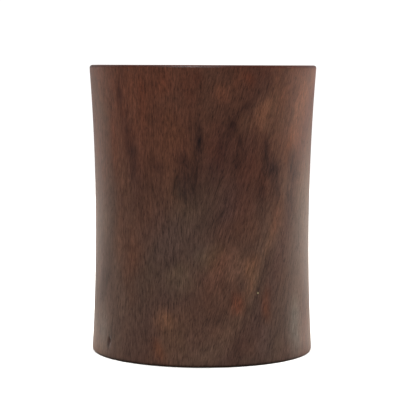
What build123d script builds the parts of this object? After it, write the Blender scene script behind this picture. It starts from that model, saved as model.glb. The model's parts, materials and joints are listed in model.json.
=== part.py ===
"""Brush pot: a waisted, hollowed length of rosewood trunk whose heart is bored out and plugged.

Millimetres. +Z is up, -Y is the front, and the origin is the centre of the foot, on the surface it stands on.
Three kinds of piece: the pot itself, the stepped plug in its floor, and the bamboo pegs that lock the plug.
"""

import os

from build123d import *

# The outside: two arcs that meet upright at the waist.
height = 160.0
lip_radius = 63.5
waist_radius = 60.0
waist_height = 70.0
foot_radius = 62.0

# The inside: a straight bore that narrows a little towards the floor.
lip_thickness = 9.0
bore_floor_radius = 51.0
floor_top = 14.0
floor_corner_round = 4.0

# Arrises, softened by hand.
lip_outer_round = 1.6
lip_inner_round = 2.2
foot_outer_round = 1.4
foot_inner_round = 0.8

# The underside: a narrow foot ring round a shallow recess.
foot_ring_width = 12.0
recess_depth = 2.0

# The plug: a wide flange below, a narrower spigot above, and a shoulder between them.
spigot_radius = 22.0
flange_radius = 27.0
shoulder_height = 8.0
glue_gap = 0.1
seam_chamfer = 0.4

# The pegs: split bamboo, driven up through the flange and into the ledge above it.
peg_count = 3
peg_radius = 1.2
peg_top = 12.0
peg_taper = 0.4
peg_hole_gap = 0.05


def revolve_outline(outline):
    """A solid of revolution about Z from a closed outline drawn on the XZ plane, X being the radius."""
    return revolve(Plane.XZ * make_face(outline), Axis.Z)


def round_ring(solid, radius, level, amount):
    """Fillets the circular edge of that radius at that level."""
    rings = [
        edge
        for edge in solid.edges().filter_by(GeomType.CIRCLE)
        if abs(edge.radius - radius) < 0.01 and abs(edge.arc_center.Z - level) < 0.01
    ]
    return fillet(rings, amount)


def chamfer_ring(solid, radius, level, amount):
    """Chamfers the circular edge of that radius at that level."""
    rings = [
        edge
        for edge in solid.edges().filter_by(GeomType.CIRCLE)
        if abs(edge.radius - radius) < 0.01 and abs(edge.arc_center.Z - level) < 0.01
    ]
    return chamfer(rings, amount)


def peg_places():
    """Centres of the pegs, halfway across the plug's shoulder."""
    return PolarLocations((spigot_radius + flange_radius) / 2, peg_count, start_angle=90)


def peg_holes():
    """The drilled holes, a hair wider and deeper than the pegs."""
    depth = peg_top + glue_gap - recess_depth
    hole = Cylinder(peg_radius + peg_hole_gap, depth, align=(Align.CENTER, Align.CENTER, Align.MIN))
    return [place * Pos(0, 0, recess_depth) * hole for place in peg_places()]


def make_pot_wall():
    """Wall, lip, foot ring and floor, all one piece of wood, with the stepped hole for the plug."""
    lip_inner_radius = lip_radius - lip_thickness
    ring_inner_radius = foot_radius - foot_ring_width
    hole_radius = spigot_radius + glue_gap
    counterbore_radius = flange_radius + glue_gap

    foot = (foot_radius, 0)
    waist = (waist_radius, waist_height)
    lip = (lip_radius, height)
    outline = Curve() + [
        Line((ring_inner_radius, 0), foot),
        TangentArc(waist, foot, tangent=(0, -1)),
        TangentArc(waist, lip, tangent=(0, 1)),
        Polyline(
            lip,
            (lip_inner_radius, height),
            (bore_floor_radius, floor_top),
            (hole_radius, floor_top),
            (hole_radius, shoulder_height),
            (counterbore_radius, shoulder_height),
            (counterbore_radius, recess_depth),
            (ring_inner_radius, recess_depth),
            (ring_inner_radius, 0),
        ),
    ]
    pot = revolve_outline(outline)
    pot = round_ring(pot, lip_radius, height, lip_outer_round)
    pot = round_ring(pot, lip_inner_radius, height, lip_inner_round)
    pot = round_ring(pot, foot_radius, 0, foot_outer_round)
    pot = round_ring(pot, ring_inner_radius, 0, foot_inner_round)
    pot = round_ring(pot, bore_floor_radius, floor_top, floor_corner_round)
    pot = chamfer_ring(pot, hole_radius, floor_top, seam_chamfer)
    pot = chamfer_ring(pot, counterbore_radius, recess_depth, seam_chamfer)
    return pot - peg_holes()


def make_heart_plug():
    """The stepped plug, flush with the floor above and with the recess below."""
    outline = Polyline(
        (0, recess_depth),
        (flange_radius, recess_depth),
        (flange_radius, shoulder_height),
        (spigot_radius, shoulder_height),
        (spigot_radius, floor_top),
        (0, floor_top),
        close=True,
    )
    plug = revolve_outline(outline)
    plug = chamfer_ring(plug, flange_radius, recess_depth, seam_chamfer)
    plug = chamfer_ring(plug, spigot_radius, floor_top, seam_chamfer)
    return plug - peg_holes()


def make_plug_pegs():
    """Identical round pegs, a little thinner at their upper ends, trimmed flush with the recess."""
    peg = Cone(
        peg_radius,
        peg_radius - peg_taper,
        peg_top - recess_depth,
        align=(Align.CENTER, Align.CENTER, Align.MIN),
    )
    return Compound([place * Pos(0, 0, recess_depth) * peg for place in peg_places()])


parts = {
    "pot_wall": make_pot_wall(),
    "heart_plug": make_heart_plug(),
    "plug_pegs": make_plug_pegs(),
}

os.makedirs("parts", exist_ok=True)
for name, shape in parts.items():
    shape.label = name
    export_step(shape, f"parts/{name}.step")
    print(f"{name}: {len(shape.solids())} solids, {shape.volume / 1000:.1f} cm3")
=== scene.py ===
# %% [markdown]
# # A turned rosewood brush pot
#
# A brush pot stands on a desk and holds writing brushes, tips up. This one is a length of dense rosewood
# trunk, turned to a gentle waist and hollowed. The heart of a trunk splits as it dries, so the turner
# bores it out, closes the hole with a stepped plug, and locks the plug with bamboo pegs from below. The
# lesson makes those pieces first, and then spends most of its time on the wood, because on so plain a
# shape the wood is what people look at.

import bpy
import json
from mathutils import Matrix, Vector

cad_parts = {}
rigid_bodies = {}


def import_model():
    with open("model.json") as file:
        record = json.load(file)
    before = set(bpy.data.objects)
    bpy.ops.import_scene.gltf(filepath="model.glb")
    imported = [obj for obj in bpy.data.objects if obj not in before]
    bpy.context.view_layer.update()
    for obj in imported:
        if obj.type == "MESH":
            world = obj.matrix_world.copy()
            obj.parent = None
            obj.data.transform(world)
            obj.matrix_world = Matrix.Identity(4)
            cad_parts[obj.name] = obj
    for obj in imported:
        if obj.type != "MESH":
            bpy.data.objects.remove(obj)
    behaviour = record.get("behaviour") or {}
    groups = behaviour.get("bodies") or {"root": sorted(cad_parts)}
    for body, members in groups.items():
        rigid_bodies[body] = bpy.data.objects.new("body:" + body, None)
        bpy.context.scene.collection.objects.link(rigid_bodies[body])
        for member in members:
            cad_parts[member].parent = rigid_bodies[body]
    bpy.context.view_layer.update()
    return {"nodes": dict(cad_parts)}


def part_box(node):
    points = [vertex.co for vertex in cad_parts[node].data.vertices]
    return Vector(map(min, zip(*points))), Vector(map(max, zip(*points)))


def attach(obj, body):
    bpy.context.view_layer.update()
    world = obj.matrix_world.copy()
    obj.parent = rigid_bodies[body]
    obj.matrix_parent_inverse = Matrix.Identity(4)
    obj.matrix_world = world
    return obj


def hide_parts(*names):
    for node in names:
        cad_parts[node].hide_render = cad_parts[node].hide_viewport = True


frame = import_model()

# %% [markdown]
# ## Sizes
#
# The frame is the fixed design, in metres, with the foot at height 0 and the front towards -Y. A turned
# piece is known from its section alone, so the script reads each size it needs as a radius and a height
# from the frame's own points. The outside is two arcs that meet upright at the waist, and an arc that
# starts upright is known from one more point on it, so no list of outline points is needed.

# %% Read the turner's sizes from the frame
import json
import math

import bmesh
import bpy
from mathutils import Matrix, Vector, noise

MM = 0.001


def section(node):
    """A frame node's points as pairs of radius and height."""
    points = frame["nodes"][node].data.vertices
    return [(math.hypot(point.co.x, point.co.y), point.co.z) for point in points]


pot_section = section("pot_wall")
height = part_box("pot_wall")[1].z
widest = max(pot_section)[0]
outside = [point for point in pot_section if point[0] > 0.9 * widest]
waist_radius, waist_height = min(outside)
lip_edge = max(point for point in outside if point[1] > waist_height)
foot_edge = max(point for point in outside if point[1] < waist_height)


def wall_radius(level):
    """The outside's radius at a height, on the arc above or below the waist."""
    edge_radius, edge_height = lip_edge if level > waist_height else foot_edge
    rise = edge_height - waist_height
    flare = edge_radius - waist_radius
    bend = (rise**2 + flare**2) / (2 * flare)
    return waist_radius + bend - math.sqrt(bend**2 - (level - waist_height) ** 2)


print(f"waist {waist_radius / MM:.1f} mm in radius, {waist_height / MM:.1f} mm up")
print(f"lip {wall_radius(height) / MM:.1f} mm and foot {wall_radius(0) / MM:.1f} mm in radius")

# %% [markdown]
# The inside is read in the same way. The plug is stepped, with a wide flange below and a narrower spigot
# above, so its two radii come from its two ends. The holes are a tenth of a millimetre larger, for glue.

# %% The inside, the floor and the plug's seat
plug_low, plug_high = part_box("heart_plug")
floor_top = plug_high.z
recess = plug_low.z
glue_gap = 0.1 * MM
plug_section = section("heart_plug")
flange_radius = plug_high.x
flange_hole = flange_radius + glue_gap
flange_top = max(level for r, level in plug_section if r > flange_radius - 0.3 * MM)
spigot_radius = max(r for r, level in plug_section if level > floor_top - 3 * MM)
spigot_hole = spigot_radius + glue_gap
shoulder = flange_top + glue_gap
lip_thickness = 9.0 * MM
foot_ring_width = 12.0 * MM
bore_top = wall_radius(height) - lip_thickness
bore_floor = min(r for r, level in pot_section if level > floor_top + 5 * MM)
print(f"floor {floor_top / MM:.1f} mm up, bore {bore_floor / MM:.1f} to {bore_top / MM:.1f} mm in radius")

# %% [markdown]
# ## The pot
#
# The real pot is turned between centres, so its model is turned too: the closed outline of half the
# section is spun once round the upright axis. Lathed work has no sharp corners left after scraping and
# years of handling, so each ring that a corner of the outline became is rounded with its own radius.
# Bevelling after the spin keeps the outline short and leaves every round a true arc.


# %% Spin an outline and round its rings
def steps_between(start, end, count):
    """Evenly spaced points from start towards end, without end itself."""
    first, last = Vector(start), Vector(end)
    return [tuple(first.lerp(last, i / count)) for i in range(count)]


def turn(outline, steps, closed=True):
    """A bmesh of an outline of (radius, height) points, turned once round the upright axis."""
    work = bmesh.new()
    dots = [work.verts.new((radius, 0, level)) for radius, level in outline]
    follow = dots[1:] + dots[:1] if closed else dots[1:]
    lines = [work.edges.new(pair) for pair in zip(dots, follow)]
    bmesh.ops.spin(
        work,
        geom=dots + lines,
        cent=(0, 0, 0),
        axis=(0, 0, 1),
        angle=2 * math.pi,
        steps=steps,
        use_merge=True,
    )
    bmesh.ops.remove_doubles(work, verts=work.verts, dist=0.01 * MM)
    return work


def round_ring(work, corner, radius, segments):
    """Rounds the ring that one corner of the outline became."""

    def on_ring(point):
        off = math.hypot(math.hypot(point.co.x, point.co.y) - corner[0], point.co.z - corner[1])
        return off < 0.01 * MM

    ring = [edge for edge in work.edges if all(on_ring(point) for point in edge.verts)]
    bmesh.ops.bevel(
        work,
        geom=ring,
        offset=radius,
        offset_type="OFFSET",
        affect="EDGES",
        segments=segments,
        profile=0.5,
        material=-1,
    )


# %% [markdown]
# The outline runs from the plug's hole across the floor, up the bore, over the lip, down the outside and
# back under the foot. The outside needs many rows, because the colour of the wood is later kept on them.

# %% Turn the pot
turning_steps = 360
outside_rows = 78
lip_outer = (wall_radius(height), height)
lip_inner = (bore_top, height)
foot_outer = (wall_radius(0), 0)
foot_inner = (wall_radius(0) - foot_ring_width, 0)
floor_corner = (bore_floor, floor_top)

pot_outline = (
    steps_between((spigot_hole, floor_top), floor_corner, 6)
    + steps_between(floor_corner, lip_inner, 34)
    + steps_between(lip_inner, lip_outer, 2)
    + [
        (wall_radius(level), level)
        for level in (height * (1 - i / outside_rows) for i in range(outside_rows))
    ]
    + steps_between(foot_outer, foot_inner, 3)
    + steps_between(foot_inner, (foot_inner[0], recess), 1)
    + steps_between((foot_inner[0], recess), (flange_hole, recess), 6)
    + steps_between((flange_hole, recess), (flange_hole, shoulder), 2)
    + steps_between((flange_hole, shoulder), (spigot_hole, shoulder), 1)
    + steps_between((spigot_hole, shoulder), (spigot_hole, floor_top), 2)
)
pot = turn(pot_outline, turning_steps)
round_ring(pot, lip_outer, 1.6 * MM, 5)
round_ring(pot, lip_inner, 2.2 * MM, 5)
round_ring(pot, foot_outer, 1.4 * MM, 4)
round_ring(pot, foot_inner, 0.8 * MM, 3)
round_ring(pot, floor_corner, 3.6 * MM, 5)
round_ring(pot, (spigot_hole, floor_top), 0.4 * MM, 2)
round_ring(pot, (flange_hole, recess), 0.4 * MM, 2)
bmesh.ops.recalc_face_normals(pot, faces=pot.faces)
print("the pot has", len(pot.faces), "faces")

# %% [markdown]
# ## The hand in the work
#
# A scraper and a polishing cloth never leave a mathematical surface. The wall is low by a few hundredths
# of a millimetre here and there, which is what makes a reflection swim as the pot is turned. The lip is
# rubbed lower where hands and brushes touch it, and there is one small pit by the foot, where a pin knot
# fell out. All of it only takes wood away, as a tool does, so the pot stays inside its design.


# %% Find the places that were worked
def wavy(place, size):
    """A smooth wander from 0 to 1 that repeats over about one size."""
    return 0.5 + 0.5 * noise.noise(place / size)


def on_wall(turn_degrees, level):
    """The point of the outside at a turn from the front, positive towards +X, and a height."""
    turn_angle = math.radians(turn_degrees)
    radius = wall_radius(level)
    return Vector((radius * math.sin(turn_angle), -radius * math.cos(turn_angle), level))


scrape_depth = 0.10 * MM
lip_wear_depth = 0.45 * MM
lip_wear_reach = 2.5 * MM
pit_place = on_wall(-55.5, 9.6 * MM)
pit_depth = 1.1 * MM
pit_half_width = 1.1 * MM
pit_half_height = 2.0 * MM

near_pit = [
    edge
    for edge in pot.edges
    if all((point.co - pit_place).length < 5.5 * MM for point in edge.verts)
]
bmesh.ops.subdivide_edges(pot, edges=near_pit, cuts=3, use_grid_fill=True)

# %% [markdown]
# Each kind of wear moves the points near its place. The scraper works everywhere on the wall, and hands
# reach the lip, the cloth the foot, and the lost knot its pit. How near each point lies to the lip's and
# the foot's arrises stays with its points, and the material darkens there: partly bare handled wood, and
# partly painted shade for the dark lines of shadow under the foot and dark reflection along the lip.

# %% Take wood away by hand
scraped_lump = 18 * MM
foot_wear_reach = 1.4 * MM
foot_wear_depth = 0.25 * MM
lip_roll = 0.6


def outward_of(point):
    """The level direction from the upright axis to a point."""
    return Vector((point.co.x, point.co.y, 0)).normalized()


def closeness(point, corner, reach):
    """1 on the ring of an outline corner, falling to 0 over about one reach."""
    off = math.hypot(math.hypot(point.co.x, point.co.y) - corner[0], point.co.z - corner[1])
    return math.exp(-((off / reach) ** 2))


wear_and_shade_layer = pot.verts.layers.float.new("arris_wear_and_shade")
wall_points = [p for p in pot.verts if p.co.xy.length > waist_radius - 1 * MM]
lip_points = [p for p in pot.verts if p.co.z > height - 8 * MM]
foot_points = [p for p in wall_points if p.co.z < 4 * MM]

for point in wall_points:
    lump = Vector((point.co.x, point.co.y, 0.4 * point.co.z))
    point.co -= outward_of(point) * scrape_depth * wavy(lump, scraped_lump)

for point in lip_points:
    outer = closeness(point, lip_outer, lip_wear_reach)
    inner = closeness(point, lip_inner, lip_wear_reach)
    rubbed = wavy(point.co, 30 * MM) * wavy(point.co, 9 * MM) * lip_wear_depth
    point.co += outward_of(point) * rubbed * (inner - outer) * lip_roll
    point.co.z -= rubbed * max(outer, inner)
    point[wear_and_shade_layer] = max(outer, inner)

for point in foot_points:
    worn = closeness(point, foot_outer, foot_wear_reach)
    point.co -= outward_of(point) * worn * foot_wear_depth * wavy(point.co, 7 * MM)
    point[wear_and_shade_layer] = 0.8 * worn

for point in wall_points:
    off = point.co - pit_place
    if off.length < 4 * pit_half_height:
        across = off.xy.length / pit_half_width
        deep = math.exp(-(across**2) - (off.z / pit_half_height) ** 2)
        point.co -= outward_of(point) * pit_depth * deep
print(len(wall_points), "points of the wall scraped")


# %% [markdown]
# A finished piece rides with the frame's only body, since nothing on a brush pot moves, and the frame's
# piece that it stands for is hidden.

# %% Stand the pot in the scene
def finish_piece(work, name, nodes):
    """Makes a bmesh a smooth piece that stands for frame nodes and rides with the frame's one body."""
    mesh = bpy.data.meshes.new(name)
    work.to_mesh(mesh)
    work.free()
    mesh.shade_smooth()
    piece = bpy.data.objects.new(name, mesh)
    bpy.context.scene.collection.objects.link(piece)
    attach(piece, "root")
    if nodes:
        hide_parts(*nodes)
    print(name, "has", sum(len(face.vertices) - 2 for face in mesh.polygons), "triangles")
    return piece


turned_pot = finish_piece(pot, "turned_pot", ["pot_wall"])

# %% [markdown]
# ## The plug and its pegs
#
# The plug is turned from an offcut and stepped. It goes in from below until its wide flange meets a
# ledge, so brushes dropped on its narrow spigot could only push it out against three bamboo pegs. They
# are driven up through the flange into the ledge. The rim of the flange is scraped back a little, so the
# pegs stand a hair proud, and a cut peg end is slightly domed, because the knife leaves its middle high.

# %% Turn the plug
plug_chamfer = 0.3 * MM
plug_sink = 0.15 * MM
plug_hollow = 0.12 * MM
plug_steps = 180
peg_ring = (spigot_radius + flange_radius) / 2
scraped_radius = peg_ring - 1.8 * MM
scraped_slope = 0.4 * MM
scraped_level = recess + 0.3 * MM
plug_rim = (spigot_radius, floor_top - plug_sink)
plug_foot = (flange_radius, scraped_level)
plug_outline = (
    steps_between((0, floor_top - plug_sink), plug_rim, 9)
    + steps_between(plug_rim, (spigot_radius, flange_top), 2)
    + steps_between((spigot_radius, flange_top), (flange_radius, flange_top), 2)
    + steps_between((flange_radius, flange_top), plug_foot, 2)
    + steps_between(plug_foot, (scraped_radius, scraped_level), 2)
    + steps_between((scraped_radius, scraped_level), (scraped_radius - scraped_slope, recess), 1)
    + steps_between((scraped_radius - scraped_slope, recess), (0, recess), 7)
    + [(0, recess)]
)
plug = turn(plug_outline, plug_steps, closed=False)
round_ring(plug, plug_rim, plug_chamfer, 2)
round_ring(plug, plug_foot, plug_chamfer, 2)
bmesh.ops.recalc_face_normals(plug, faces=plug.faces)
for point in plug.verts:
    if point.co.z > floor_top - 2 * plug_sink:
        point.co.z -= plug_hollow * wavy(point.co, 12 * MM)
stepped_plug = finish_piece(plug, "stepped_plug", ["heart_plug"])

# %% [markdown]
# The frame holds the three pegs as one node, so its points are first sorted into pegs. Each peg is a
# cone, because a peg is whittled thinner towards the end that goes in first.

# %% Cut the pegs
peg_spacing = 6 * MM
peg_end = 0.1 * MM
peg_dome = 0.15 * MM
peg_low, peg_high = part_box("plug_pegs")
peg_points = [point.co.copy() for point in frame["nodes"]["plug_pegs"].data.vertices]


def pegs_apart(points, reach):
    """Groups points that lie within reach of each other, seen from above."""
    groups = []
    for point in points:
        home = [group for group in groups if (group[0] - point).xy.length < reach]
        if home:
            home[0].append(point)
        else:
            groups.append([point])
    return groups


peg_groups = pegs_apart(peg_points, peg_spacing)
for number, group in enumerate(peg_groups, start=1):
    low_end = [point for point in group if point.z < peg_low.z + peg_end]
    high_end = [point for point in group if point.z > peg_high.z - peg_end]
    middle = sum(low_end, Vector()) / len(low_end)
    wide = max((point - middle).xy.length for point in low_end)
    narrow = max((point - middle).xy.length for point in high_end)
    peg = bmesh.new()
    bmesh.ops.create_cone(
        peg, cap_ends=True, segments=24, radius1=wide, radius2=narrow, depth=peg_high.z - peg_low.z
    )
    lower_cap = [face for face in peg.faces if face.normal.z < -0.9]
    bmesh.ops.inset_region(peg, faces=lower_cap, thickness=wide * 0.35)
    bmesh.ops.translate(
        peg, verts=peg.verts, vec=(middle.x, middle.y, (peg_low.z + peg_high.z) / 2)
    )
    rim = [point for point in peg.verts if (point.co - middle).xy.length > wide * 0.9]
    for point in rim:
        if point.co.z < peg_low.z + peg_end:
            point.co.z += peg_dome
    finish_piece(peg, f"bamboo_peg_{number}", ["plug_pegs"])

# %% [markdown]
# ## Wiring a material
#
# These helpers add nodes and hand back the socket that the next step needs, so a recipe reads from top to
# bottom. The wood is worked out in millimetres from the piece's own coordinates, so the grain runs
# through it as in a tree: along the wall, round the lip and across the end grain below.


# %% One helper per kind of step
def add(tree, kind, *values, **settings):
    """Adds a node. A value is a number or colour to set, a socket to link, or None to leave alone."""
    made = tree.nodes.new("ShaderNode" + kind)
    for name, setting in settings.items():
        setattr(made, name, setting)
    for socket, value in zip(made.inputs, values):
        if isinstance(value, bpy.types.NodeSocket):
            tree.links.new(value, socket)
        elif value is not None:
            socket.default_value = value
    return made


def calc(tree, operation, a, b=None, c=None):
    """One sum on numbers."""
    return add(tree, "Math", a, b, c, operation=operation).outputs[0]


def times(tree, a, b):
    """Two numbers multiplied, which for two masks is where both hold."""
    return calc(tree, "MULTIPLY", a, b)


def move(tree, operation, a, b=None):
    """One sum on vectors."""
    return add(tree, "VectorMath", a, b, operation=operation).outputs[0]


def ease(tree, value, low, high, bottom=0.0, top=1.0):
    """Follows a value from low to high with a soft start and a soft end."""
    settings = {"interpolation_type": "SMOOTHSTEP", "clamp": False}
    made = add(tree, "MapRange", value, low, high, bottom, top, **settings)
    return made.outputs[0]


# %% Helpers for colours and patterns
def stain(tree, share, under, over, way="MIX"):
    """Lays one colour over another by a share from 0 to 1."""
    made = add(tree, "Mix", share, data_type="RGBA", blend_type=way)
    for socket, value in ((made.inputs[6], under), (made.inputs[7], over)):
        if isinstance(value, bpy.types.NodeSocket):
            tree.links.new(value, socket)
        else:
            socket.default_value = value
    return made.outputs[2]


def grainy(tree, place, size, detail=2.0, roughness=0.5):
    """Noise from 0 to 1 whose lumps are as large as size, a triple in millimetres."""
    scaled = move(tree, "DIVIDE", place, size)
    made = add(tree, "TexNoise", scaled, None, 1.0, detail, roughness)
    return made.outputs[0]


def part_of(tree, place, axis):
    """One coordinate of a place."""
    return add(tree, "SeparateXYZ", place).outputs[axis]


def from_axis(tree, place):
    """How far a place lies from the upright axis."""
    flattened = move(tree, "MULTIPLY", place, (1, 1, 0))
    return add(tree, "VectorMath", flattened, operation="LENGTH").outputs["Value"]


def lighten(tree, colour, lightness):
    """Multiplies a colour by a number that varies over the surface."""
    grey = add(tree, "CombineXYZ", lightness, lightness, lightness).outputs[0]
    return stain(tree, 1.0, colour, grey, "MULTIPLY")


# %% [markdown]
# An effect that several woods share is built once as a group with named sockets. Every material ends in
# the same way, with a colour, a roughness and a relief.


# %% Build effects and finish materials
def new_effect(name, inputs, outputs):
    """An empty shader node group with named sockets, and its two end nodes."""
    group = bpy.data.node_groups.new(name, "ShaderNodeTree")
    for socket_name, kind, value in inputs:
        socket = group.interface.new_socket(socket_name, in_out="INPUT", socket_type=kind)
        socket.default_value = value
    for socket_name, kind in outputs:
        group.interface.new_socket(socket_name, in_out="OUTPUT", socket_type=kind)
    return group, group.nodes.new("NodeGroupInput"), group.nodes.new("NodeGroupOutput")


def place_effect(tree, group, **values):
    """Puts a built effect in a material, with its inputs by name, and hands back the node."""
    made = tree.nodes.new("ShaderNodeGroup")
    made.node_tree = group
    for name, value in values.items():
        socket = made.inputs[name.replace("_", " ")]
        if isinstance(value, bpy.types.NodeSocket):
            tree.links.new(value, socket)
        else:
            socket.default_value = value
    return made


def new_material(name):
    """A material with one Principled BSDF, and the piece's own coordinates in millimetres."""
    material = bpy.data.materials.new(name)
    material.use_nodes = True
    tree = material.node_tree
    shader = tree.nodes["Principled BSDF"]
    own = add(tree, "TexCoord").outputs["Object"]
    place = move(tree, "MULTIPLY", own, (1000, 1000, 1000))
    return material, tree, shader, place


def finish_surface(tree, shader, colour, gloss, relief, strength, deep):
    """Wires colour, roughness and relief into the shader. Relief of 1 stands deep metres high."""
    bump = add(tree, "Bump", strength, deep)
    tree.links.new(relief, bump.inputs["Height"])
    tree.links.new(bump.outputs[0], shader.inputs["Normal"])
    tree.links.new(gloss, shader.inputs["Roughness"])
    tree.links.new(colour, shader.inputs["Base Color"])


FLOAT, VECTOR = "NodeSocketFloat", "NodeSocketVector"

# %% [markdown]
# ## Growth rings
#
# The figure on a turned pot is a map of the tree. A point's colour depends on the year it grew, so on
# how far it lies from the pith. The pith of this log runs a little behind the axis, leans, and bows
# forward at mid height. The waist cuts the rings at a very low angle, and a ring a third of a millimetre
# thick becomes a band as broad as a finger, which opens upwards like a U. Working out that distance as a
# solid pattern gives the front its U, the sides their long lines and the lip its rings all at once. The
# pot and the plug both use it, each with its own pith.

# %% Build the growth ring effect
half_height = height / 2 / MM
rings, start, end = new_effect(
    "growth_rings",
    [
        ("Place", VECTOR, (0, 0, 0)),
        ("Pith", VECTOR, (0, 0, 0)),
        ("Lean", VECTOR, (0, 0, 0)),
        ("Bow", VECTOR, (0, 0, 0)),
        ("Wander", FLOAT, 0.3),
    ],
    [("Depth", FLOAT)],
)
place = start.outputs["Place"]
level = part_of(rings, place, "Z")
rise = calc(rings, "DIVIDE", calc(rings, "SUBTRACT", level, half_height), half_height)
rise_squared = times(rings, rise, rise)
leaned = add(rings, "VectorMath", start.outputs["Lean"], None, None, rise, operation="SCALE").outputs[0]
bowed = add(
    rings, "VectorMath", start.outputs["Bow"], None, None, rise_squared, operation="SCALE"
).outputs[0]
pith = move(rings, "ADD", start.outputs["Pith"], move(rings, "ADD", leaned, bowed))
from_pith = from_axis(rings, move(rings, "SUBTRACT", place, pith))
slow = calc(rings, "SUBTRACT", grainy(rings, place, (26, 26, 60), 1), 0.5)
quick = calc(rings, "SUBTRACT", grainy(rings, place, (5, 5, 22), 2), 0.5)
wander = calc(rings, "MULTIPLY_ADD", quick, 0.22, slow)
depth = calc(rings, "MULTIPLY_ADD", wander, start.outputs["Wander"], from_pith)
rings.links.new(depth, end.inputs["Depth"])
print("growth_rings has", len(rings.nodes), "nodes")

# %% [markdown]
# ## Fibres and pores
#
# Rosewood is made of fine upright fibres with open pores, which show on a long face as short dark dashes
# and on end grain as dots. Both are a stretched solid pattern, so one recipe gives both. In parts of the
# log the fibres lean, which turners call spiral grain, so the effect turns its pattern round the axis
# as it goes up.

# %% Build the fibre effect
fibres, start, end = new_effect(
    "fibres_and_pores",
    [("Place", VECTOR, (0, 0, 0)), ("Lean", FLOAT, 0.0), ("Pore share", FLOAT, 0.5)],
    [("Fibre", FLOAT), ("Streak", FLOAT), ("Pore", FLOAT)],
)
place = start.outputs["Place"]
level = part_of(fibres, place, "Z")
turn_per_level = calc(fibres, "DIVIDE", start.outputs["Lean"], waist_radius / MM)
turned = times(fibres, level, turn_per_level)
leaned = add(
    fibres, "VectorRotate", place, (0, 0, 0), (0, 0, 1), turned, rotation_type="AXIS_ANGLE"
).outputs[0]
fibre = grainy(fibres, leaned, (0.54, 0.54, 4.0), 4, 0.7)
streak = grainy(fibres, leaned, (1.0, 1.0, 18), 3, 0.6)
cells = add(fibres, "TexVoronoi", move(fibres, "DIVIDE", leaned, (0.85, 0.85, 4.5)), None, 1.0)
near = ease(fibres, cells.outputs["Distance"], 0.12, 0.26, 1, 0)
kept = add(fibres, "SeparateColor", cells.outputs["Color"]).outputs[0]
is_open = calc(fibres, "LESS_THAN", kept, start.outputs["Pore share"])
pore = times(fibres, near, is_open)
for name, socket in (("Fibre", fibre), ("Streak", streak), ("Pore", pore)):
    fibres.links.new(socket, end.inputs[name])
print("fibres_and_pores has", len(fibres.nodes), "nodes")

# %% [markdown]
# ## The pot's own wood
#
# The bands of this log are listed on one ramp, as a sawyer would describe them: brown and
# red-brown years with a few darker ones. The ramp is gentle, because the pot's character is in its patches.


# %% Colours of rosewood
def tone(red, green, blue):
    """A colour from its everyday 0 to 255 values, as the light that it stands for."""
    values = [v / 255 for v in (red, green, blue)]
    return tuple(v / 12.92 if v <= 0.04045 else ((v + 0.055) / 1.055) ** 2.4 for v in values) + (1.0,)


near_black = tone(62, 42, 38)
chocolate = tone(92, 61, 51)
brown = tone(102, 69, 55)
red_brown = tone(106, 67, 51)
tan = tone(116, 81, 63)
umber = tone(92, 66, 54)

# %% [markdown]
# The years are a list of distances from the pith, in millimetres, each with its colour. The front shows
# the years past 57 or so, and the back the older ones. Thin dark years come from noise along the depth.


# %% Helpers for thin years and tints
def line_noise(tree, value, pace, detail):
    """Noise from 0 to 1 along one value, with about pace changes for each unit of it."""
    made = add(tree, "TexNoise", noise_dimensions="1D")
    tree.links.new(times(tree, value, pace), made.inputs["W"])
    made.inputs["Scale"].default_value = 1.0
    made.inputs["Detail"].default_value = detail
    made.inputs["Roughness"].default_value = 0.65
    return made.outputs[0]


def shade(tree, colour, tint, share):
    """Multiplies a colour by a tint, a triple where 1 changes nothing, by a share from 0 to 1."""
    return stain(tree, share, colour, (*tint, 1.0), "MULTIPLY")


# %% Start the wood with its growth rings
wood, tree, shader, place = new_material("polished_rosewood")
ring_node = place_effect(
    tree,
    rings,
    Place=place,
    Pith=(2.7, 4.7, 0),
    Lean=(-1.2, 0.9, 0),
    Bow=(0, -4.05, 0),
    Wander=0.7,
)
depth = ring_node.outputs["Depth"]

# %% The years
years = (
    (54.0, chocolate),
    (54.8, red_brown),
    (55.4, chocolate),
    (55.8, brown),
    (56.2, umber),
    (56.6, brown),
    (57.4, tan),
    (58.1, chocolate),
    (59.0, brown),
    (59.9, umber),
    (60.7, brown),
    (61.2, chocolate),
    (61.5, brown),
    (62.05, tan),
    (62.5, brown),
    (63.6, red_brown),
    (64.2, chocolate),
    (64.6, brown),
    (65.1, umber),
    (65.4, red_brown),
    (65.8, brown),
    (67.0, chocolate),
)

# %% Put the years on a ramp
first_year, last_year = years[0][0], years[-1][0]
share = add(tree, "MapRange", depth, first_year, last_year).outputs[0]
ramp = add(tree, "ValToRGB", share)
stops = ramp.color_ramp.elements
for i, (year, colour) in enumerate(years):
    position = (year - first_year) / (last_year - first_year)
    stop = stops[i] if i < 2 else stops.new(position)
    stop.position = position
    stop.color = colour
ramp.color_ramp.interpolation = "B_SPLINE"
colour = ramp.outputs[0]

# %% Add the thin dark years
near_pith = ease(tree, depth, 55, 52)
old_bands = ease(tree, line_noise(tree, depth, 0.55, 3.0), 0.42, 0.66)
old_year = times(tree, near_pith, old_bands)
colour = shade(tree, colour, (0.42, 0.36, 0.38), old_year)
dark_year = ease(tree, line_noise(tree, depth, 3.0, 4.0), 0.52, 0.72)
colour = shade(tree, colour, (0.66, 0.64, 0.68), times(tree, dark_year, 0.55))
print(len(years), "years on the ramp")
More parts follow.
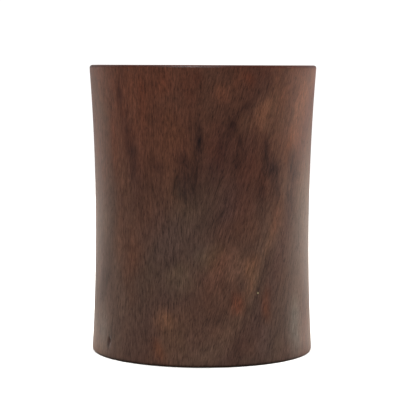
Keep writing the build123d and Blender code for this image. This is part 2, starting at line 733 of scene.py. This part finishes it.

# %% [markdown]
# ## Patches
#
# Where the grain dips under the surface, the wood looks darker, warmer or brighter than its neighbours.
# Most patches are one such dip, and a few at the foot's two edges are painted reflection of the pale
# floor. Each only multiplies the colour under it. The tints are red, green and blue, where 1 changes
# nothing. They were tuned to one real pot, so they suit this log alone.

# %% The tints
tints = {
    # This tint pales faded wood, and at the right foot it lays a painted reflection of the pale floor.
    "fade_and_reflection": (1.04, 1.28, 1.30),
    "plum": (0.80, 0.73, 0.84),
    "mauve": (1.05, 1.05, 1.14),
    "gloom": (0.76, 0.77, 0.80),
    "shadow": (0.48, 0.46, 0.52),
    "ink": (0.42, 0.42, 0.52),
    "slate": (0.30, 0.55, 0.62),
    "oxblood": (0.80, 0.55, 0.50),
    "ember": (1.36, 1.00, 0.80),
    "brick": (1.50, 0.86, 0.66),
    "flame": (1.55, 1.18, 0.82),
    "honey": (1.50, 1.30, 1.12),
    "straw": (1.60, 1.50, 1.24),
    "glow": (1.52, 1.52, 1.46),
    "rose": (1.25, 1.22, 1.20),
    # This tint also lays the painted reflection of the pale floor at the foot's two edges.
    "haze": (1.10, 1.34, 1.46),
    "moss": (1.24, 1.34, 1.14),
}

# %% [markdown]
# A patch has a name, its turn from the front in degrees, its height, half width and half height in
# millimetres, its lean to the right in degrees, and its strength.

# %% Broad fields and dips
patches = {}
patches["fade_and_reflection"] = (
    ("weathered shoulder", 36, 132, 12, 18, 20, 0.95),
    # Painted reflection: the pale floor seen in the polish at the lower right of the foot.
    ("right foot, painted floor reflection", 57, 15, 6, 13, 0, 0.8),
    ("weathered left edge", -62, 140, 8, 20, 0, 0.5),
)
patches["plum"] = (
    ("plum field", 8, 113, 8, 16, 10, 0.9),
    ("plum field, right", 25, 107, 8, 15, 0, 0.4),
    ("left limb's shade", -37, 112, 6, 26, -10, 0.25),
)
patches["mauve"] = (
    ("mauve field", -18, 70, 12, 12, 0, 0.9),
    ("mauve field, right", 17, 86, 8, 10, 15, 1),
    ("right foot mauve", 32, 13, 5, 9, 0, 0.8),
)
patches["gloom"] = (
    ("left smudge, low", -26, 94, 5, 9, -20, 0.7),
    ("grey dip", -13, 56, 2.8, 5, 10, 0.8),
    ("grey dip, high", -32, 82, 3, 8, 0, 0.6),
    ("foot dip", 8, 26, 5, 5, 20, 1),
)

# %% Shadows of the limbs, the knot and the strands
patches["shadow"] = (
    ("left limb, high", -46, 144, 2.2, 8, -3, 0.95),
    ("pit", -55.5, 9.6, 1.8, 2.2, 0, 0.85),
    ("pit's tail", -54, 14, 1.0, 4, 6, 0.8),
    ("left limb, root", -45, 155, 1.8, 6, 0, 0.5),
    ("left limb, middle", -41, 123, 3.2, 16, -14, 0.6),
    ("spindle's heart", -3, 119, 1.6, 5, 0, 0.8),
    ("knot's head", -2, 128, 1.4, 4, -6, 0.75),
    ("knot's left wing", -7, 129, 2, 4, 70, 0.5),
    ("knot's foot", -3, 104, 2.2, 6, 0, 0.9),
    ("crest, high", 26, 142, 1.8, 6, 45, 0.35),
    ("crest, middle", 20, 136, 2.2, 6, 40, 0.85),
    ("crest, dark end", 15.5, 129, 2.6, 5, 20, 1),
    ("inner strand, high", 10, 117, 2.5, 9, 22, 0.5),
    ("inner strand, low", 5, 102, 3, 9, 18, 0.4),
    ("outer strand, high", 19, 119, 1.8, 6, 10, 0.85),
    ("outer strand, middle", 17, 110, 2.0, 6, 16, 0.8),
    ("outer strand, low", 13, 95, 2.2, 10, 18, 0.35),
    ("outer strand, toe", 6, 78, 2.4, 6, 40, 0.45),
    ("right shadow, high", 33, 116, 2.2, 6, 0, 1),
    ("right shadow, inner tail", 31, 93, 3.2, 10, 5, 0.75),
    ("right shadow, outer tail", 40, 93, 4, 10, 0, 0.8),
    ("far right shade", 52, 106, 5, 10, 0, 1),
    ("far right shade, low", 50, 88, 4, 10, 0, 0.7),
    ("right crown eye", 32, 153, 2.5, 5, 20, 0.3),
    ("left foot shade", -62, 42, 4, 12, 12, 0.75),
    ("hairline, high", 35, 55, 1.0, 8, 15, 1),
    ("hairline, middle", 29, 40, 1.0, 9, 18, 1),
    ("hairline, low", 21.5, 24, 1.0, 9, 14, 0.7),
    ("hairline's root", 17.5, 9, 1.8, 7, 6, 0.35),
    ("third hairline", 41, 36, 1.4, 10, 4, 0.15),
)

# %% The darkest places
patches["ink"] = (
    ("left limb, low", -37, 108, 3.2, 14, -10, 0.5),
    ("spindle knot", -3, 119, 2.6, 7, 0, 1),
    ("dark heart", -8, 97, 6, 9, 0, 0.85),
    ("heart's cap", -9, 108, 5, 3, 70, 0.95),
    ("left smudge", -22, 106, 4, 6, -20, 0.5),
    ("right shadow, knot", 37, 107, 5, 6, -10, 1),
)
patches["slate"] = (
    ("heart's blue corner", -11.5, 95, 3, 4, 0, 0.3),
)
patches["oxblood"] = (
    ("crown's dark eye", -2, 152, 2.4, 5, 0, 0.6),
    ("ruddy crown", -9, 147, 6, 7, 0, 0.35),
)

# %% Warm places
patches["ember"] = (
    ("crown ember, left", -18, 150, 4, 6, 0, 0.35),
    ("crown ember, right", 23, 153, 3, 5, -10, 0.6),
    ("left ribbon, inner", -31, 138, 2.2, 16, -6, 0.3),
    ("left edge streak", -52, 122, 2.2, 16, -4, 0.3),
    ("ribbon, high", 41, 80, 2.8, 9, 20, 0.3),
    ("right low ember", 34, 33, 2.8, 8, 0, 1),
    ("left foot ember", -22, 7, 6, 3, 75, 0.7),
)
patches["brick"] = (
    ("low ember", 18, 33, 3.6, 4.5, 10, 0.6),
)
patches["flame"] = (
    ("orange streak, high", 54, 132, 2.3, 8, 22, 0.2),
    ("orange streak", 49, 118, 2.3, 9, 14, 0.65),
)

# %% Tan and gold places
patches["honey"] = (
    ("tan island", 9, 146, 4.5, 4, 40, 0.5),
    ("tan island's horn", 17, 152, 2.5, 6, 10, 0.5),
    ("left ribbon", -37, 146, 1.8, 14, -5, 0.15),
    ("right shoulder glint", 31, 135, 3.4, 8, 40, 0.6),
    ("glint's foot", 28, 128, 3, 3.5, 0, 0.35),
    ("outer shoulder", 43, 141, 3, 10, 20, 0.35),
    ("ribbon, middle", 36, 67, 2.8, 8, 25, 0.5),
    ("evening glow", 26, 54, 4.2, 7, 20, 1),
    ("glow's tail", 24.5, 44, 2.4, 8, 14, 0.8),
    ("right edge veil", 62, 142, 5, 12, 0, 0.4),
    ("left veil, inner", -37, 60, 2.4, 14, 0, 0.2),
)
patches["straw"] = (
    ("low glint", -20, 25, 5, 4.5, 60, 1),
)

# %% Pale places, bloom and moss tones
patches["glow"] = (
    ("glow's mist", 16, 56, 8, 6, 50, 1),
    ("pale fibres", 14.5, 51, 2.6, 5, 8, 1),
    ("left veil", -48, 58, 3, 16, 0, 0.5),
    ("left foot veil", -44, 32, 4, 10, 0, 0.45),
    ("right shoulder's shine", 31, 136, 3.5, 8, 40, 0.8),
    ("crown shine", 10, 146, 4, 4, 40, 0.65),
    ("glint's foot, shine", 28, 128, 3, 3.5, 0, 0.35),
    # These two are painted reflection of the pale floor at the foot's right and left edges.
    ("right foot's edge, painted floor reflection", 58, 16, 5, 12, 0, 0.2),
    ("left foot's edge, painted floor reflection", -62, 14, 5, 12, 0, 0.25),
    ("low glint's shine", -20, 25, 4, 4, 60, 0.35),
    ("streak's shine", 55, 134, 2.5, 8, 22, 0.5),
)
patches["rose"] = (
    ("rose field", 6, 50, 4, 7, 10, 1),
)
patches["haze"] = (
    # Painted reflection: the pale floor seen in the polish at the lower right edge of the foot.
    ("right foot, painted floor reflection haze", 56, 18, 6, 14, 0, 1),
    ("crown's bloom", -16, 148, 8, 9, 0, 0.5),
    ("streak's bloom", 55, 134, 3, 9, 22, 0.4),
    ("moss shelf's bloom", 0, 60, 5, 8, 40, 0.35),
    ("moss bank's bloom", -12, 44, 8, 9, 0, 0.3),
    ("left limb's bloom", -41, 128, 9, 26, -6, 0.55),
    ("right shoulder's bloom", 30, 136, 5, 10, 40, 0.35),
    ("pit's bloom", -55.5, 9.6, 2.0, 2.4, 0, 1),
    # Painted reflection: the pale floor seen in the polish at the lower left edge of the foot.
    ("left foot, painted floor reflection haze", -62, 14, 5, 12, 0, 0.8),
)
patches["moss"] = (
    ("moss bank", -10, 46, 7, 8, 40, 0.9),
    ("moss shelf", 3, 58, 4, 8, 40, 1),
    ("moss bank, left", -27, 44, 5, 8, 0, 0.2),
    ("moss foot", -12, 24, 6, 10, 0, 0.3),
)

# %% [markdown]
# So many patches would be a huge material, so they are worked out here, once for each point of the wall,
# and kept on the mesh as a colour. Within one tint the strongest patch counts, and the tints multiply.
# A slow swirl bends every patch a little, because no dip in real grain is a clean oval. It takes its
# place from a random number, which Blender draws from the clock unless it is given a seed.

# %% How a patch fades out
soft_reach = 1.9
wall_skin = 1.0 * MM
mean_radius = waist_radius / MM + 1.5


def fade_out(away):
    """1 in the middle of a patch and 0 from its edge on, with a soft start and a soft end."""
    left = max(0.0, 1.0 - away / soft_reach)
    return left * left * (3 - 2 * left)


# %% Find the points of the wall and swirl them
swirl_size = 11 * MM
swirl_across = 1.5
swirl_up = 4.0
swirl_seed = 1
noise.seed_set(swirl_seed)
points_by_level = {}
for vertex in turned_pot.data.vertices:
    radius = math.hypot(vertex.co.x, vertex.co.y)
    if radius > waist_radius - wall_skin:
        swirl = noise.noise_vector(vertex.co / swirl_size)
        across = math.atan2(vertex.co.x, -vertex.co.y) * radius / MM + swirl_across * swirl.x
        up = vertex.co.z / MM + swirl_up * swirl.z
        points_by_level.setdefault(round(up), []).append((vertex.index, across, up))

# %% Mix the tints at every point
wall_tint = [Vector((1, 1, 1)) for _ in turned_pot.data.vertices]
for tint, members in patches.items():
    shares = {}
    for name, turn_degrees, level, wide, tall, lean, strength in members:
        middle = math.radians(turn_degrees) * mean_radius
        lean_sin = math.sin(math.radians(lean))
        lean_cos = math.cos(math.radians(lean))
        reach = 2 + round(soft_reach * (tall * abs(lean_cos) + wide * abs(lean_sin)))
        for row in range(round(level) - reach, round(level) + reach + 1):
            for index, across, up in points_by_level.get(row, ()):
                side = (across - middle) * lean_cos - (up - level) * lean_sin
                along = (across - middle) * lean_sin + (up - level) * lean_cos
                share = strength * fade_out(math.hypot(side / wide, along / tall))
                if share > shares.get(index, 0.0):
                    shares[index] = share
    full = Vector(tints[tint])
    for index, share in shares.items():
        wall_tint[index] = wall_tint[index].lerp(wall_tint[index] * full, share)
# The kept colour holds the wood's figure and, at the foot's two edges, painted floor reflection.
attribute = turned_pot.data.attributes.new("figure_and_reflection", "FLOAT_COLOR", "POINT")
attribute.data.foreach_set("color", [v for mixed in wall_tint for v in (*mixed, 1.0)])
print(sum(len(members) for members in patches.values()), "patches laid by hand")

# %% [markdown]
# The kept colour is smooth, and smooth colour looks painted on. Noise as long as the fibres strengthens
# it here and weakens it there, past both ends of its range, so its edges break up along the grain.

# %% Fray the tints along the fibres
ragged = calc(tree, "SUBTRACT", grainy(tree, place, (1.5, 1.5, 7), 4, 0.75), 0.5)
figure_and_reflection = add(tree, "Attribute", attribute_name="figure_and_reflection").outputs["Color"]
frayed = calc(tree, "MULTIPLY_ADD", ragged, 2.4, 1.0)
own_tint = add(tree, "Mix", frayed, data_type="RGBA", clamp_factor=False)
own_tint.inputs[6].default_value = (1, 1, 1, 1)
tree.links.new(figure_and_reflection, own_tint.inputs[7])
colour = stain(tree, 1.0, colour, own_tint.outputs[2], "MULTIPLY")

# %% [markdown]
# The log is redder towards the lip and greyer towards the foot, all the way round. Away from the front
# the same kinds of dips come from noise, stretched upright like the listed ones.

# %% The rest of the log
level = part_of(tree, place, "Z")
depth_back = part_of(tree, place, "Y")
away_from_front = ease(tree, depth_back, -38, -6)
colour = shade(tree, colour, (1.14, 0.97, 0.92), ease(tree, level, 75, 128))
colour = shade(tree, colour, (1.02, 1.19, 1.32), ease(tree, level, 122, 62))
lumps = grainy(tree, place, (9, 9, 34), 3, 0.6)
broad_lumps = grainy(tree, place, (24, 24, 40), 2)
dips = times(tree, away_from_front, ease(tree, lumps, 0.52, 0.72))
lights = times(tree, away_from_front, ease(tree, lumps, 0.48, 0.28))
colour = shade(tree, colour, tints["shadow"], times(tree, dips, 0.75))
colour = shade(tree, colour, tints["honey"], times(tree, lights, 0.6))
colour = shade(tree, colour, tints["ember"], ease(tree, broad_lumps, 0.5, 0.75, 0, 0.35))
colour = shade(tree, colour, tints["moss"], ease(tree, broad_lumps, 0.5, 0.25, 0, 0.4))

# %% [markdown]
# ## Inside and underneath
#
# Only the outside of a brush pot is polished. The well keeps the faint rings of the hook tool, wet
# brushes have darkened its floor with ink, and dust has settled in the corner that no cloth reaches. The
# underside is end grain, which drinks more oil and so looks darker, with short drying checks round the
# plug, where the heart of the tree used to be, and pale rubbing on the ring that the pot stands on.

# %% Say where the well, its floor and the underside are
out = from_axis(tree, place)
floor_level = floor_top / MM
well = times(tree, ease(tree, out, 58.5, 56.0), ease(tree, level, 160, 153))
well = times(tree, well, ease(tree, level, floor_level - 2, floor_level - 1))
well_floor = times(tree, well, ease(tree, level, floor_level + 5, floor_level + 0.5))
underneath = times(tree, ease(tree, level, 3.2, 2.2), ease(tree, out, 61.6, 60.4))
bearing = calc(tree, "ARCTAN2", part_of(tree, place, "Y"), part_of(tree, place, "X"))

# %% [markdown]
# Ink gathers in blots on the floor and splashes up the well, handles scuff the bore in long strokes, and
# drying checks run out from the plug like spokes. Each is a mask, and then each mask lays its colour.

# %% Stain, dust and check them
blots = grainy(tree, place, (13, 13, 9), 4, 0.6)
old_ink = times(tree, well_floor, ease(tree, blots, 0.46, 0.62))
splashes = grainy(tree, place, (5, 5, 26), 3, 0.6)
low_down = times(tree, well, ease(tree, level, 70, 16))
splashed = times(tree, low_down, ease(tree, splashes, 0.55, 0.68))
scuffs = grainy(tree, place, (1.3, 1.3, 30), 3, 0.6)
scuffed = times(tree, well, ease(tree, scuffs, 0.56, 0.72))
corner = times(tree, well_floor, ease(tree, out, 43, 50))
dusty = times(tree, corner, grainy(tree, place, (3, 3, 2), 4, 0.7))
spokes = ease(tree, line_noise(tree, bearing, 9.0, 2.0), 0.60, 0.66)
reach = times(tree, ease(tree, out, 44, 30), calc(tree, "MAXIMUM", well_floor, underneath))
checks = times(tree, spokes, reach)
old_wood_tint = (0.80, 0.82, 0.86)
end_grain_tint = (0.72, 0.66, 0.62)
ink_stain_tint = (0.34, 0.36, 0.44)
colour = shade(tree, colour, old_wood_tint, well)
# The lip's top face is darkened: partly its end grain, partly painted shade for the dark line along the top
# of the lip.
lip_face = ease(tree, level, 158.4, 159.5)
lip_tint = (0.62, 0.54, 0.52)
colour = shade(tree, colour, lip_tint, lip_face)
colour = shade(tree, colour, end_grain_tint, calc(tree, "MAXIMUM", underneath, well_floor))
colour = shade(tree, colour, tints["honey"], times(tree, scuffed, 0.5))
all_ink = calc(tree, "MAXIMUM", old_ink, times(tree, splashed, 0.6))
colour = shade(tree, colour, ink_stain_tint, all_ink)
rubs = grainy(tree, place, (1.8, 1.8, 1.8), 4, 0.7)
foot_rub = times(tree, ease(tree, level, 0.6, 0.1), ease(tree, rubs, 0.48, 0.68))
rubbed_tone = tone(150, 118, 94)
dust_tone = tone(150, 138, 124)
colour = stain(tree, times(tree, foot_rub, 0.16), colour, rubbed_tone)
colour = stain(tree, times(tree, dusty, 0.55), colour, dust_tone)
colour = shade(tree, colour, (0.25, 0.22, 0.22), checks)
dull = calc(tree, "MAXIMUM", well, underneath)
tool_rings = line_noise(tree, level, 1.1, 1.0)
floor_rings = line_noise(tree, out, 0.9, 1.0)
tooled = times(tree, well, tool_rings)
faced = times(tree, calc(tree, "MAXIMUM", well_floor, underneath), floor_rings)

# %% [markdown]
# Fibres and pores come last, because they are the finest. The two leans are mixed across the front,
# with a ragged border, as interlocked grain does. Arrises are darker, partly as handled wood and partly as
# painted shade along the lip and the foot, and one small pale fleck sits low on the right. The pores are
# duller and deeper than the polished wood round them.

# %% Fibres, pores and polish
across = part_of(tree, place, "X")
interlocked = calc(tree, "MULTIPLY_ADD", ragged, 60, across)
leans = ease(tree, interlocked, -6, 6)
straight = place_effect(tree, fibres, Place=place, Lean=-0.03, Pore_share=0.5)
leaning = place_effect(tree, fibres, Place=place, Lean=-0.27, Pore_share=0.6)


def by_side(name):
    """A fibre mask that is straight on the left of the front and leans on the right."""
    part = add(tree, "Mix", leans, None, straight.outputs[name], leaning.outputs[name])
    return part.outputs[0]


fibre = by_side("Fibre")
streak = by_side("Streak")
pore = by_side("Pore")
lightness = calc(tree, "MULTIPLY_ADD", calc(tree, "SUBTRACT", fibre, 0.5), 3.4, 1.08)
lightness = calc(tree, "MULTIPLY_ADD", calc(tree, "SUBTRACT", streak, 0.5), 1.2, lightness)
colour = lighten(tree, colour, lightness)
colour = shade(tree, colour, (0.45, 0.42, 0.45), times(tree, pore, 0.9))
# Painted shade and wear: the lip's and foot's arrises are darkened, for handling and for the dark line of
# shadow and dark reflection there.
arris = add(tree, "Attribute", attribute_name="arris_wear_and_shade").outputs["Fac"]
colour = shade(tree, colour, (0.45, 0.36, 0.36), ease(tree, arris, 0.5, 0.95))
fleck_place = tuple(on_wall(29.6, 38.9 * MM) / MM)
from_fleck = add(tree, "VectorMath", place, fleck_place, operation="DISTANCE").outputs["Value"]
fleck_tone = tone(205, 186, 140)
colour = stain(tree, ease(tree, from_fleck, 0.62, 0.3), colour, fleck_tone)
gloss = calc(tree, "MULTIPLY_ADD", fibre, 0.12, 0.34)
gloss = calc(tree, "MULTIPLY_ADD", pore, 0.2, gloss)
gloss = calc(tree, "MULTIPLY_ADD", dull, 0.2, gloss)
gloss = calc(tree, "MULTIPLY_ADD", dusty, 0.3, gloss)
relief = calc(tree, "MULTIPLY_ADD", pore, -1.0, times(tree, fibre, 0.35))
relief = calc(tree, "MULTIPLY_ADD", checks, -3.0, relief)
relief = calc(tree, "MULTIPLY_ADD", tooled, 2.2, relief)
relief = calc(tree, "MULTIPLY_ADD", faced, 2.0, relief)
pore_depth = 0.12 * MM
finish_surface(tree, shader, colour, gloss, relief, 0.35, pore_depth)
turned_pot.data.materials.append(wood)

# %% [markdown]
# ## The plug and its pegs
#
# The plug comes from an offcut of the same log, but its own heart lies to one side, so its rings cross
# the floor in arcs that don't meet the pot's. That is how one finds a plug in an old
# pot. The pegs are slivers of bamboo. End on, bamboo shows dark dots, which are its bundles of fibre.

# %% The plug
plug_wood, tree, shader, place = new_material("plug_rosewood")
ring_node = place_effect(tree, rings, Place=place, Pith=(31, -22, 0), Wander=0.8)
depth = ring_node.outputs["Depth"]
broad_years = ease(tree, line_noise(tree, depth, 0.8, 3.0), 0.35, 0.62)
fine_years = ease(tree, line_noise(tree, depth, 2.6, 3.0), 0.5, 0.7)
colour = stain(tree, broad_years, brown, near_black)
colour = stain(tree, times(tree, fine_years, 0.5), colour, chocolate)
grain = place_effect(tree, fibres, Place=place, Lean=0.0, Pore_share=0.5)
lightness = calc(tree, "MULTIPLY_ADD", calc(tree, "SUBTRACT", grain.outputs["Fibre"], 0.5), 1.6, 0.85)
colour = lighten(tree, colour, lightness)
colour = shade(tree, colour, (0.4, 0.36, 0.36), grain.outputs["Pore"])
out = from_axis(tree, place)
on_top = ease(tree, part_of(tree, place, "Z"), 10, 12)
plug_blots = ease(tree, grainy(tree, place, (11, 11, 9), 4, 0.6), 0.46, 0.62)
plug_ink = times(tree, on_top, plug_blots)
colour = shade(tree, colour, ink_stain_tint, plug_ink)
step_in = (spigot_radius - flange_radius) / MM
plug_edge = calc(tree, "MULTIPLY_ADD", on_top, step_in, flange_radius / MM)
glue = ease(tree, calc(tree, "SUBTRACT", out, plug_edge), -0.9, 0.0)
colour = shade(tree, colour, (0.35, 0.3, 0.28), glue)
gloss = calc(tree, "MULTIPLY_ADD", grain.outputs["Pore"], 0.2, 0.52)
relief = calc(tree, "MULTIPLY_ADD", grain.outputs["Pore"], -1.0, line_noise(tree, out, 0.9, 1.0))
finish_surface(tree, shader, colour, gloss, relief, 0.35, pore_depth)
stepped_plug.data.materials.append(plug_wood)

# %% [markdown]
# Bamboo is pale and straight, with dark bundles of fibre that end on as dots. Years of dust and oil
# have browned the cut ends, so the grime goes over everything.

# %% The pegs
bamboo, tree, shader, place = new_material("bamboo")
bundle_place = move(tree, "DIVIDE", place, (0.42, 0.42, 9.0))
bundles = add(tree, "TexVoronoi", bundle_place, None, 1.0)
bundle = ease(tree, bundles.outputs["Distance"], 0.2, 0.4, 1, 0)
straw_tone = tone(186, 148, 98)
honey_tone = tone(158, 118, 74)
bundle_tone = tone(96, 66, 42)
colour = stain(tree, grainy(tree, place, (0.8, 0.8, 6.0), 3, 0.6), straw_tone, honey_tone)
colour = stain(tree, times(tree, bundle, 0.75), colour, bundle_tone)
grime = ease(tree, grainy(tree, place, (1.2, 1.2, 1.2), 3, 0.6), 0.45, 0.7, 0.15, 0.6)
colour = shade(tree, colour, (0.45, 0.38, 0.34), grime)
gloss = calc(tree, "MULTIPLY_ADD", bundle, 0.15, 0.55)
relief = times(tree, bundle, -1.0)
finish_surface(tree, shader, colour, gloss, relief, 0.4, pore_depth / 2)
for piece in bpy.data.objects:
    if piece.name.startswith("bamboo_peg"):
        piece.data.materials.append(bamboo)

# %% [markdown]
# ## The studio
#
# Dark polished wood is lit by what it reflects. The pot stands on a plain pale floor, which the polish
# reflects darker than the camera sees it, and the front is left dim, so that it keeps its full colour.

# %% Floor
floor = bmesh.new()
bmesh.ops.create_circle(floor, cap_ends=True, segments=128, radius=1.5)
floor_mesh = bpy.data.meshes.new("pale_floor")
floor.to_mesh(floor_mesh)
floor.free()
pale_floor = bpy.data.objects.new("pale_floor", floor_mesh)
bpy.context.scene.collection.objects.link(pale_floor)
paper, tree, shader, place = new_material("pale_paper")
mottle = grainy(tree, place, (60, 60, 60), 2)
colour = stain(tree, mottle, tone(240, 239, 236), tone(246, 245, 243))
tree.links.new(colour, shader.inputs["Base Color"])
shader.inputs["Roughness"].default_value = 0.9
shader.inputs["Specular IOR Level"].default_value = 0.0
behind = add(tree, "VectorMath", place, (0.0002, 0.001, 0), operation="DOT_PRODUCT").outputs["Value"]
away = add(tree, "VectorMath", place, operation="LENGTH").outputs["Value"]
beside = ease(tree, part_of(tree, place, "Y"), -60, 20)
close = times(tree, ease(tree, away, 230, 130, 0, 0.9), beside)
lit = calc(tree, "MAXIMUM", close, ease(tree, behind, -0.05, 0.45))
dimmed = stain(tree, lit, tone(80, 78, 75), tone(196, 188, 178))
flag = add(tree, "BsdfDiffuse", dimmed)
seen = add(tree, "LightPath").outputs["Is Camera Ray"]
both = add(tree, "MixShader", seen, flag.outputs[0], shader.outputs[0])
tree.links.new(both.outputs[0], tree.nodes["Material Output"].inputs["Surface"])
floor_mesh.materials.append(paper)

# %% [markdown]
# The lights that show as reflections stand beside and behind. The two fills and the overhead light brighten
# the wood without showing in the polish, as a cloud of light from a white room does.

# %% Lights
world = bpy.data.worlds.new("studio")
world.use_nodes = True
bpy.context.scene.world = world
tree = world.node_tree
room = tree.nodes["Background"]
room.inputs["Color"].default_value = (1, 1, 1, 1)
room.inputs["Strength"].default_value = 0.11
sweep = add(tree, "Background", (1, 1, 1, 1), 1.1)
seen = add(tree, "LightPath").outputs["Is Camera Ray"]
both = add(tree, "MixShader", seen, room.outputs[0], sweep.outputs[0])
tree.links.new(both.outputs[0], tree.nodes["World Output"].inputs["Surface"])


def soft_light(name, turn_degrees, distance, level, wide, tall, power, in_polish=True):
    """A rectangular soft light that faces the pot, turned from the front and positive towards +X."""
    turn_angle = math.radians(turn_degrees)
    lamp = bpy.data.lights.new(name, "AREA")
    lamp.shape = "RECTANGLE"
    lamp.size = wide
    lamp.size_y = tall
    lamp.energy = power
    holder = bpy.data.objects.new(name, lamp)
    holder.location = (distance * math.sin(turn_angle), -distance * math.cos(turn_angle), level)
    aim = Vector((0, 0, height / 2)) - holder.location
    holder.rotation_euler = aim.to_track_quat("-Z", "Y").to_euler()
    holder.visible_camera = False
    holder.visible_glossy = in_polish
    bpy.context.scene.collection.objects.link(holder)


soft_light("right_window", 100, 1.3, 0.45, 2.4, 1.2, 1.4)
soft_light("backdrop", 180, 1.3, 0.45, 2.6, 1.2, 3.0)
soft_light("left_window", -122, 1.3, 0.45, 0.8, 1.2, 0.4)
soft_light("high_fill", -15, 0.8, 1.3, 0.5, 0.5, 9.0)

sun = bpy.data.lights.new("overhead", "SUN")
sun.energy = 3.6
sun.angle = math.radians(60)
overhead = bpy.data.objects.new("overhead", sun)
overhead.visible_glossy = False
bpy.context.scene.collection.objects.link(overhead)
soft_light("left_fill", -127, 0.9, 0.5, 0.6, 0.6, 7.0, in_polish=False)
soft_light("right_fill", 119, 0.9, 0.5, 0.6, 0.6, 11.5, in_polish=False)

# %% [markdown]
# The camera stands level with the lip and tips down a little, so the lip is a straight line and the foot
# is a shallow curve. It is far away with a long lens, so near and far parts of the pot are drawn at
# nearly the same size.

# %% Camera
camera_distance = 0.9124
camera_pitch = math.radians(4.748)
camera_roll = math.radians(0.2)
camera_yaw = math.radians(0.085)
camera = bpy.data.cameras.new("camera")
camera.lens = 146.3
camera.sensor_width = 36.0
eye = bpy.data.objects.new("camera", camera)
eye.location = (0, -camera_distance, height)
eye.rotation_mode = "XYZ"
aim = (
    Matrix.Rotation(camera_yaw, 3, "Z")
    @ Matrix.Rotation(math.pi / 2 - camera_pitch, 3, "X")
    @ Matrix.Rotation(camera_roll, 3, "Z")
)
eye.rotation_euler = aim.to_euler()
bpy.context.scene.collection.objects.link(eye)
bpy.context.scene.camera = eye
bpy.context.scene.view_settings.view_transform = "Standard"
